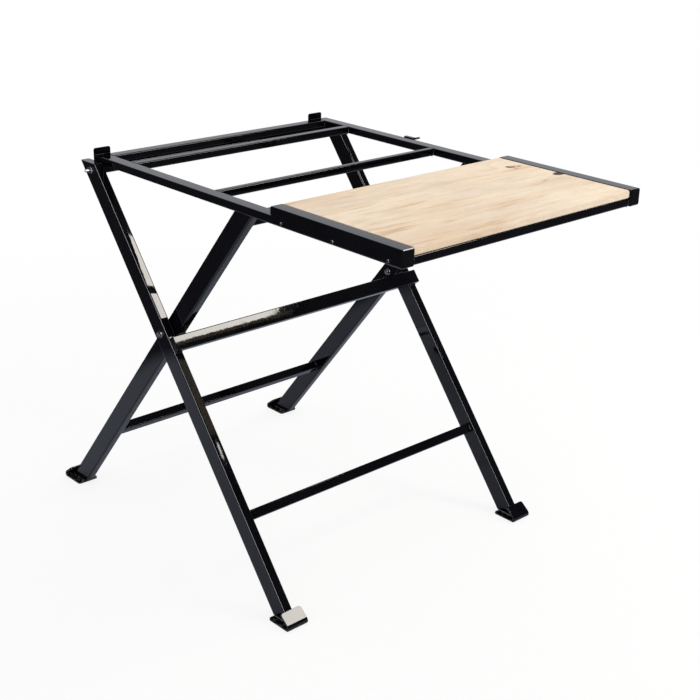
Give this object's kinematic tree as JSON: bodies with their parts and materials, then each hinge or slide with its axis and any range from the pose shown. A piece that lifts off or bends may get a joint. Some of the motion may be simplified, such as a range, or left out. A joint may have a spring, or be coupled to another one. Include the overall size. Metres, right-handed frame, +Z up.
{
  "type": "tile saw stand",
  "caption": "Folding tile saw stand: flat tube top frame with end stops and a wooden work board, hinged to crossed tube legs with bent plate feet.",
  "frame": {"origin": "on the floor, in the middle of the stand's bounding box", "axes": "+Z up, +X from the hinged rear end to the board end, +Y from the near side to the far side"},
  "size_m": [0.981, 0.6546, 0.7503],
  "materials": {
    "black_paint": "gloss black paint on steel",
    "zinc": "bright zinc plate",
    "wood": "plain sanded board",
    "black_plastic": "black moulded plastic",
    "rubber": "black rubber"
  },
  "bodies": {
    "outer_legs": {"outer_leg_near": "black_paint", "outer_leg_far": "black_paint", "outer_leg_plug_near": "black_plastic", "outer_leg_plug_far": "black_plastic", "stop_bar": "black_paint", "stop_bar_plug_near": "black_plastic", "stop_bar_plug_far": "black_plastic", "stop_pad_near": "rubber", "stop_pad_far": "rubber", "outer_lower_bar": "black_paint", "outer_foot_near": "black_paint", "outer_foot_far": "black_paint", "pivot_bolt_near": "zinc", "pivot_bolt_far": "zinc", "pivot_nut_near": "zinc", "pivot_nut_far": "zinc", "pivot_spacer_near": "zinc", "pivot_spacer_far": "zinc"},
    "inner_legs": {"inner_leg_near": "black_paint", "inner_leg_far": "black_paint", "inner_top_bar": "black_paint", "inner_lower_bar": "black_paint", "inner_foot_near": "black_paint", "inner_foot_far": "black_paint"},
    "top_frame": {"side_rail_near": "black_paint", "side_rail_far": "black_paint", "front_cap_near": "black_plastic", "front_cap_far": "black_plastic", "rail_rear_plug_far": "black_plastic", "rear_cross_tube": "black_paint", "second_crossbar": "black_paint", "middle_crossbar": "black_paint", "board_bearer": "black_paint", "front_bar": "black_paint", "hinge_tube": "black_paint", "hinge_plug_near": "zinc", "hinge_plug_far": "zinc", "end_plate_near": "black_paint", "end_plate_far": "black_paint", "edge_trim_near": "black_paint", "edge_trim_far": "black_paint", "trim_plug_near": "black_plastic", "trim_plug_far": "black_plastic", "work_board": "wood", "board_ledger_near": "black_paint", "board_ledger_far": "black_paint", "board_screw_near_1": "zinc", "board_screw_near_2": "zinc", "board_screw_near_3": "zinc", "board_screw_far_1": "zinc", "board_screw_far_2": "zinc", "board_screw_far_3": "zinc", "side_lug": "black_paint", "side_lug_stud": "zinc", "hinge_stud_near": "zinc", "hinge_stud_far": "zinc", "hinge_nut_near": "zinc", "hinge_nut_far": "zinc"}
  },
  "joints": [
    {"name": "leg_fold", "type": "hinge", "parent": "outer_legs", "child": "inner_legs", "pos_m": [-0.10424, 0, 0.44577], "axis": [0, 1, 0], "range_deg": [-70, 0]},
    {"name": "top_lift", "type": "hinge", "parent": "outer_legs", "child": "top_frame", "pos_m": [-0.3158, 0, 0.7127], "axis": [0, 1, 0], "range_deg": [-126, 0]}
  ],
  "couplings": [
    {"joint": "top_lift", "follows": "leg_fold", "ratio": 1.8}
  ]
}
